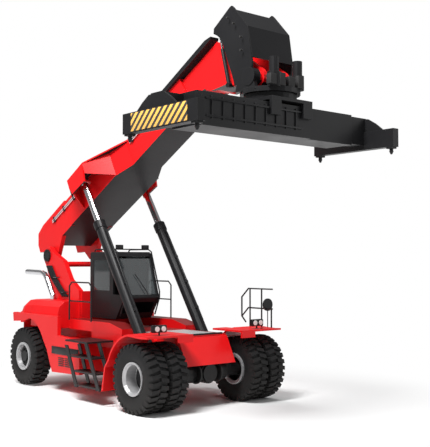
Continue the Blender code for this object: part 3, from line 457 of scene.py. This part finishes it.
# ---- bolts, by geometry nodes --------------------------------------------------------
def bolt_ring_group():
    """Hexagon heads round a circle in the plane across X."""
    group = bpy.data.node_groups.new("BoltRing", "GeometryNodeTree")
    for label, kind, value in (("Count", "NodeSocketInt", 12), ("Circle Radius", "NodeSocketFloat", 0.2),
                               ("Bolt Radius", "NodeSocketFloat", 0.02),
                               ("Bolt Height", "NodeSocketFloat", 0.03)):
        group.interface.new_socket(label, in_out="INPUT", socket_type=kind).default_value = value
    group.interface.new_socket("Look", in_out="INPUT", socket_type="NodeSocketMaterial")
    group.interface.new_socket("Geometry", in_out="OUTPUT", socket_type="NodeSocketGeometry")
    nodes, links = group.nodes, group.links
    ins = nodes.new("NodeGroupInput")
    outs = nodes.new("NodeGroupOutput")
    circle = nodes.new("GeometryNodeMeshCircle")
    links.new(ins.outputs["Count"], circle.inputs["Vertices"])
    links.new(ins.outputs["Circle Radius"], circle.inputs["Radius"])
    head = nodes.new("GeometryNodeMeshCylinder")
    head.inputs["Vertices"].default_value = 6
    links.new(ins.outputs["Bolt Radius"], head.inputs["Radius"])
    links.new(ins.outputs["Bolt Height"], head.inputs["Depth"])
    spread = nodes.new("GeometryNodeInstanceOnPoints")
    links.new(circle.outputs["Mesh"], spread.inputs["Points"])
    links.new(head.outputs["Mesh"], spread.inputs["Instance"])
    real = nodes.new("GeometryNodeRealizeInstances")
    links.new(spread.outputs["Instances"], real.inputs["Geometry"])
    turn = nodes.new("GeometryNodeTransform")
    turn.inputs["Rotation"].default_value = (0.0, math.pi / 2, 0.0)
    links.new(real.outputs["Geometry"], turn.inputs["Geometry"])
    look = nodes.new("GeometryNodeSetMaterial")
    links.new(turn.outputs["Geometry"], look.inputs["Geometry"])
    links.new(ins.outputs["Look"], look.inputs["Material"])
    links.new(look.outputs["Geometry"], outs.inputs["Geometry"])
    return group


BOLT_RING = bolt_ring_group()


def bolt_ring(name, centre, body, count, circle, radius, height, look):
    """A ring of bolts about centre, turned into a plain mesh."""
    base = bpy.data.objects.new("base", bpy.data.meshes.new("base"))
    bpy.context.scene.collection.objects.link(base)
    ring = base.modifiers.new("ring", "NODES")
    ring.node_group = BOLT_RING
    values = {"Count": count, "Circle Radius": circle, "Bolt Radius": radius,
              "Bolt Height": height, "Look": look}
    for item in BOLT_RING.interface.items_tree:
        if item.name in values:
            ring[item.identifier] = values[item.name]
    bpy.context.view_layer.update()
    graph = bpy.context.evaluated_depsgraph_get()
    mesh = bpy.data.meshes.new_from_object(base.evaluated_get(graph))
    bpy.data.objects.remove(base, do_unlink=True)
    mesh.transform(Matrix.Translation(centre))
    return finished(name, mesh, look, body)


def wheel_bolts():
    for side, sign in (("left", 1), ("right", -1)):
        for node, body, inset in ((f"front_rims_{side}", f"front_wheel_{side}", 0.34),
                                  (f"rear_rim_{side}", f"rear_wheel_{side}", 0.105)):
            low, high = span(node)
            centre = (low + high) / 2
            centre.x = (high.x - inset) if sign > 0 else (low.x + inset)
            bolt_ring(f"bolts_{node}", centre, body, 20, 0.215, 0.018, 0.05, DARK)


# ---- trim ----------------------------------------------------------------------------
def hazard_boards():
    """Striped boards on the outer faces of the spreader's end beams."""
    for side, sign in (("left", 1), ("right", -1)):
        low, high = span(f"spreader_arm_{side}")
        face = high.x if sign > 0 else low.x
        x0, x1 = sorted((face - sign * 0.012, face + sign * 0.006))
        bm = bmesh.new()
        middle_y = (low.y + high.y) / 2
        bevelled_box(bm, (x0, middle_y - 0.95, low.z + 0.20), (x1, middle_y + 0.95, low.z + 0.58),
                     0.002)
        finished(f"hazard_board_{side}", to_mesh(bm, "board"), HAZARD, f"arm_{side}")


def side_bands():
    """Black band along each body side."""
    for side, sign in (("left", 1), ("right", -1)):
        low, high = span(f"body_side_{side}")
        face = high.x if sign > 0 else low.x
        x0, x1 = sorted((face - sign * 0.004, face + sign * 0.012))
        bm = bmesh.new()
        bevelled_box(bm, (x0, low.y + 0.03, low.z + 0.50), (x1, low.y + 1.42, low.z + 0.70),
                     0.003)
        finished(f"side_band_{side}", to_mesh(bm, "band"), DARK, "chassis")


def deck_lamps():
    """Twin work lamps in a black box on each front corner of the deck."""
    for side, sign in (("left", 1), ("right", -1)):
        low, high = span(f"fender_{side}")
        x = (low.x + high.x) / 2 + sign * 0.10
        y = low.y + 0.30
        bm = bmesh.new()
        bevelled_box(bm, (x - 0.19, y - 0.05, high.z + 0.04), (x + 0.19, y + 0.08, high.z + 0.21),
                     0.02)
        tube(bm, [(x, y, high.z - 0.02), (x, y, high.z + 0.05)], 0.02)
        finished(f"lamp_{side}", to_mesh(bm, "lamp"), DARK, "chassis")
        bm = bmesh.new()
        for shift in (-0.092, 0.092):
            tube(bm, [(x + shift, y - 0.060, high.z + 0.125), (x + shift, y - 0.049, high.z + 0.125)],
                 0.062, 24)
        finished(f"lens_{side}", to_mesh(bm, "lens"), LAMP, "chassis")


def walk_hoops():
    """Grab hoops on the raised walks beside the cab."""
    high = span("deck")[1]
    for side, sign in (("left", 1), ("right", -1)):
        x = sign * (high.x - 0.05)
        start, end = high.y - 1.35, high.y - 0.25
        bm = bmesh.new()
        tube(bm, [(x, start, high.z - 0.01), (x, start, high.z + 0.90), (x, start + 0.12, high.z + 1.0),
                  (x, end - 0.12, high.z + 1.0), (x, end, high.z + 0.90), (x, end, high.z - 0.01)],
             0.02)
        tube(bm, [(x, start, high.z + 0.5), (x, end, high.z + 0.5)], 0.018)
        finished(f"walk_hoop_{side}", to_mesh(bm, "hoop"), DARK, "chassis")


def housing_rails():
    """Ribs and two rails along the front of the spreader's housing."""
    low, high = span("spreader_frame")
    bm = bmesh.new()
    for k in range(9):
        x = low.x + 0.25 + 0.30 * k
        bevelled_box(bm, (x - 0.012, low.y - 0.03, low.z + 0.15), (x + 0.012, low.y + 0.01, high.z - 0.12),
                     0.003)
    bevelled_box(bm, (low.x + 0.10, low.y - 0.045, high.z - 0.20),
                 (low.x + 2.85, low.y - 0.015, high.z - 0.16), 0.004)
    bevelled_box(bm, (low.x + 0.10, low.y - 0.045, low.z + 0.18),
                 (low.x + 2.85, low.y - 0.015, low.z + 0.22), 0.004)
    finished("housing_rails", to_mesh(bm, "rails"), DARK, "frame")


def pivot_caps():
    """Turned end caps of the boom's pivot pin."""
    low, high = span("boom_towers")
    for side, face, sign in (("left", high.x, 1), ("right", low.x, -1)):
        bm = bmesh.new()
        inner, outer = face + sign * 0.001, face + sign * 0.045
        tube(bm, [(inner, PIVOT.y, PIVOT.z), (outer, PIVOT.y, PIVOT.z)], 0.18, 40)
        finished(f"pivot_cap_{side}", to_mesh(bm, "cap"), DARK, "chassis")
        bolt_ring(f"pivot_bolts_{side}", Vector((outer, PIVOT.y, PIVOT.z)), "chassis", 8, 0.13,
                  0.018, 0.03, DARK)


def boom_pipes():
    """Pale hydraulic pipes clipped to each side of the boom, with their clamps."""
    for side, sign in (("left", 1), ("right", -1)):
        for run, start, end, half in (("rear", 0.50, 1.95, 0.704), ("front", 4.62, 6.45, 0.466)):
            bm = bmesh.new()
            for lift in (0.0, 0.055):
                x = sign * (half + 0.030)
                tube(bm, [boom_point(start, 0.83 + lift, x), boom_point(end, 0.83 + lift, x)],
                     0.019, 12)
            finished(f"boom_pipe_{run}_{side}", to_mesh(bm, "pipe"), CHROME, "boom")
            bm = bmesh.new()
            for k in range(3):
                a = start + 0.12 + (end - start - 0.24) * k / 2
                tube(bm, [boom_point(a, 0.78, sign * (half + 0.028)),
                          boom_point(a, 0.94, sign * (half + 0.028))], 0.032, 6)
            finished(f"pipe_clamps_{run}_{side}", to_mesh(bm, "clamp"), DARK, "boom")


def tower_hoses():
    """Hose bundle down each tower's outer side, held by clamp plates."""
    low, high = span("boom_towers")
    for side, sign in (("left", 1), ("right", -1)):
        face = high.x if sign > 0 else low.x
        bm = bmesh.new()
        for k in range(7):
            x = face + sign * 0.030
            shift = 0.046 * k
            route = [(x, high.y - 0.26 - shift, PIVOT.z - 0.30), (x, high.y - 0.52 - shift, 3.02),
                     (x, high.y - 0.88 - shift, 2.72), (x, high.y - 1.18 - shift, 2.50)]
            tube(bm, route, 0.021, 10)
        finished(f"tower_hoses_{side}", to_mesh(bm, "hose"), RUBBER, "chassis")
        bm = bmesh.new()
        x = face + sign * 0.058
        for y, z in ((high.y - 0.66, 3.02), (high.y - 1.16, 2.62)):
            tube(bm, [(x, y + 0.03, z), (x, y - 0.36, z)], 0.016, 6)
        finished(f"hose_clamps_{side}", to_mesh(bm, "clamp"), DARK, "chassis")


def head_fittings():
    """Valve blocks on the head's base and bolt heads on its side plates."""
    bm = bmesh.new()
    for k in range(4):
        x = -0.42 + 0.28 * k
        bevelled_box(bm, (x - 0.09, HEAD_PIN.y - 0.66, HEAD_PIN.z - 0.245),
                     (x + 0.09, HEAD_PIN.y - 0.52, HEAD_PIN.z - 0.02 + 0.05 * (k % 2)), 0.012)
    finished("head_valves", to_mesh(bm, "valves"), IRON, "head")
    bm = bmesh.new()
    for x in (-0.59, 0.59):
        for y, z in ((0.05, 0.60), (0.06, 0.90), (0.30, 1.25), (0.50, 1.42)):
            side = x + (0.062 if x > 0 else -0.062)
            tube(bm, [(x, HEAD_PIN.y + y + 0.12, HEAD_PIN.z + z),
                      (side, HEAD_PIN.y + y + 0.12, HEAD_PIN.z + z)], 0.022, 6)
    finished("head_bolts", to_mesh(bm, "bolts"), IRON, "head")


def cab_guard():
    """Bent tube guard round the windscreen, its roof rails, wiper and work lamps."""
    low, high = span("cab_shell")
    bm = bmesh.new()
    for x in (low.x + 0.02, high.x - 0.02):
        tube(bm, [(x, high.y - 0.20, high.z + 0.02), (x, high.y - 0.26, high.z + 0.07),
                  (x, low.y + 0.50, high.z + 0.07), (x, low.y + 0.36, high.z + 0.01),
                  (x, low.y - 0.03, low.z + 0.72), (x, low.y - 0.03, low.z + 0.56),
                  (x, low.y + 0.18, low.z + 0.10)], 0.020, 10)
    for y, z in ((low.y + 0.48, high.z + 0.07), (low.y - 0.03, low.z + 0.58)):
        tube(bm, [(low.x + 0.02, y, z), (high.x - 0.02, y, z)], 0.016, 8)
    centre = (low.x + high.x) / 2
    tube(bm, [(centre + 0.20, low.y - 0.02, low.z + 0.66), (centre - 0.10, low.y + 0.18, low.z + 1.20)],
         0.011, 6)
    finished("cab_guard", to_mesh(bm, "guard"), DARK, "chassis")
    bm = bmesh.new()
    for x in (low.x + 0.16, high.x - 0.16):
        bevelled_box(bm, (x - 0.10, low.y + 0.40, high.z + 0.075), (x + 0.10, low.y + 0.50, high.z + 0.19),
                     0.018)
    finished("cab_lamps", to_mesh(bm, "lamps"), DARK, "chassis")


def side_grilles():
    """Slatted vents low on the body sides."""
    for side, sign in (("left", 1), ("right", -1)):
        low, high = span(f"body_side_{side}")
        face = high.x if sign > 0 else low.x
        x0, x1 = sorted((face - sign * 0.004, face + sign * 0.010))
        bm = bmesh.new()
        for column in range(2):
            start = low.y + 0.45 + 0.33 * column
            for k in range(5):
                z = low.z + 0.20 + 0.05 * k
                bevelled_box(bm, (x0, start, z), (x1, start + 0.28, z + 0.026), 0.003)
        finished(f"side_grille_{side}", to_mesh(bm, "grille"), DARK, "chassis")


def barrel_pipes():
    """A pipe up the front of each lift cylinder's barrel, with its clamps."""
    for side in ("left", "right"):
        foot = Vector(JOINTS[f"lift_foot_{side}"]["pos_m"])
        axis = Vector(JOINTS[f"lift_stroke_{side}"]["axis"])
        front = Vector((0.0, -axis.z, axis.y))
        shift = front * 0.185
        bm = bmesh.new()
        tube(bm, [foot + axis * 0.42 + front * 0.13, foot + axis * 0.50 + shift,
                  foot + axis * 3.30 + shift, foot + axis * 3.38 + front * 0.13], 0.024, 12)
        for place in (0.9, 1.7, 2.5):
            tube(bm, [foot + axis * (place - 0.03) + shift * 0.86,
                      foot + axis * (place + 0.03) + shift * 0.86], 0.05, 8)
        finished(f"barrel_pipe_{side}", to_mesh(bm, "pipe"), DARK, f"barrel_{side}")


def mirror():
    """Round mirror on a stalk at the left front corner."""
    low, high = span("fender_left")
    x, y, z = high.x - 0.14, low.y + 0.34, high.z
    bm = bmesh.new()
    tube(bm, [(x, y, z - 0.01), (x, y, z + 0.42)], 0.012, 8)
    tube(bm, [(x, y - 0.02, z + 0.56), (x, y + 0.02, z + 0.56)], 0.16, 32)
    finished("mirror_shell", to_mesh(bm, "mirror"), DARK, "chassis")
    bm = bmesh.new()
    tube(bm, [(x, y + 0.021, z + 0.56), (x, y + 0.026, z + 0.56)], 0.145, 32)
    finished("mirror_glass", to_mesh(bm, "glass"), CHROME, "chassis")


def front_plate():
    """Pale tread plate let into the deck behind the front panel, with a dark kerb."""
    low = span("deck")[0]
    step_top = low.z + 0.40
    bm = bmesh.new()
    bevelled_box(bm, (-0.62, low.y + 0.10, step_top - 0.004), (0.62, low.y + 1.50, step_top + 0.008),
                 0.003)
    plate = to_mesh(bm, "plate")
    shift = middle("drive_axle").x
    plate.transform(Matrix.Translation((shift, 0, 0)))
    finished("tread_plate", plate, PALE, "chassis")
    bm = bmesh.new()
    bevelled_box(bm, (shift - 0.70, low.y + 0.02, step_top - 0.004),
                 (shift + 0.70, low.y + 0.08, step_top + 0.03), 0.004)
    finished("deck_kerb", to_mesh(bm, "kerb"), DARK, "chassis")


def axle_cover():
    """Round differential cover facing forward, and the brake drums' flanges."""
    low = span("drive_axle")[0]
    centre = middle("front_rims_left")
    x = middle("drive_axle").x
    bm = bmesh.new()
    tube(bm, [(x, low.y + 0.01, centre.z), (x, low.y - 0.05, centre.z),
              (x, low.y - 0.06, centre.z)], 0.21, 40)
    for side in (-1, 1):
        tube(bm, [(x + side * 0.30, low.y + 0.12, centre.z), (x + side * 0.34, low.y + 0.12, centre.z)],
             0.245, 40)
    finished("differential_cover", to_mesh(bm, "cover"), DARK, "chassis")


# ---- studio --------------------------------------------------------------------------
CAMERA_FROM_DRIVE_AXLE = Vector((-13.167, -16.201, 3.528))
CAMERA_YAW = math.radians(40.06)
CAMERA_PITCH = math.radians(2.435)
LENS = 68.67


def fading_floor():
    """Pale floor near the machine that takes its shadow and fades to white further out."""
    material, tree, shader = new_material("PaleFloor")
    shader.inputs["Base Color"].default_value = (0.93, 0.93, 0.93, 1)
    shader.inputs["Roughness"].default_value = 0.95
    place = tree.nodes.new("ShaderNodeNewGeometry")
    distance = tree.nodes.new("ShaderNodeVectorMath")
    distance.operation = "LENGTH"
    tree.links.new(place.outputs["Position"], distance.inputs[0])
    fade = tree.nodes.new("ShaderNodeMapRange")
    fade.interpolation_type = "SMOOTHSTEP"
    fade.inputs["From Min"].default_value = 3.0
    fade.inputs["From Max"].default_value = 8.5
    tree.links.new(distance.outputs["Value"], fade.inputs["Value"])
    glow = tree.nodes.new("ShaderNodeEmission")
    blend = tree.nodes.new("ShaderNodeMixShader")
    tree.links.new(fade.outputs["Result"], blend.inputs[0])
    tree.links.new(shader.outputs["BSDF"], blend.inputs[1])
    tree.links.new(glow.outputs["Emission"], blend.inputs[2])
    tree.links.new(blend.outputs["Shader"], tree.nodes["Material Output"].inputs["Surface"])
    return material


def white_world():
    """White where the camera sees it, a softer grey as light."""
    world = bpy.data.worlds.new("world")
    bpy.context.scene.world = world
    world.use_nodes = True
    tree = world.node_tree
    back = tree.nodes["Background"]
    back.inputs["Color"].default_value = (1, 1, 1, 1)
    path = tree.nodes.new("ShaderNodeLightPath")
    strength = tree.nodes.new("ShaderNodeMapRange")
    strength.inputs["To Min"].default_value = 0.24
    strength.inputs["To Max"].default_value = 1.0
    tree.links.new(path.outputs["Is Camera Ray"], strength.inputs["Value"])
    tree.links.new(strength.outputs["Result"], back.inputs["Strength"])


def studio():
    axle = middle("drive_axle")
    camera = bpy.data.cameras.new("camera")
    camera.lens = LENS
    camera.sensor_width = 36.0
    camera.clip_end = 500.0
    view = bpy.data.objects.new("camera", camera)
    view.location = Vector((axle.x, axle.y, 0.0)) + CAMERA_FROM_DRIVE_AXLE
    view.rotation_euler = (math.pi / 2 + CAMERA_PITCH, 0.0, -CAMERA_YAW)
    bpy.context.scene.collection.objects.link(view)
    bpy.context.scene.camera = view
    bpy.ops.mesh.primitive_plane_add(size=400.0, location=(0, 0, -0.001))
    floor = bpy.context.object
    floor.name = "floor"
    floor.data.materials.append(fading_floor())
    white_world()
    for name, place, power, size in (("key", (-10, -5, 20), 6400, 7), ("fill", (12, -14, 8), 450, 12),
                                     ("back", (4, 14, 16), 1800, 10)):
        light = bpy.data.lights.new(name, "AREA")
        light.energy = power
        light.size = size
        lamp = bpy.data.objects.new(name, light)
        lamp.location = place
        aim = Vector((0, 0, 3)) - Vector(place)
        lamp.rotation_euler = aim.to_track_quat("-Z", "Y").to_euler()
        bpy.context.scene.collection.objects.link(lamp)
    bpy.context.scene.view_settings.view_transform = "Standard"


dress_nodes()
tyres()
wheel_bolts()
hazard_boards()
side_bands()
deck_lamps()
walk_hoops()
housing_rails()
pivot_caps()
boom_pipes()
tower_hoses()
head_fittings()
cab_guard()
side_grilles()
barrel_pipes()
mirror()
front_plate()
axle_cover()
studio()
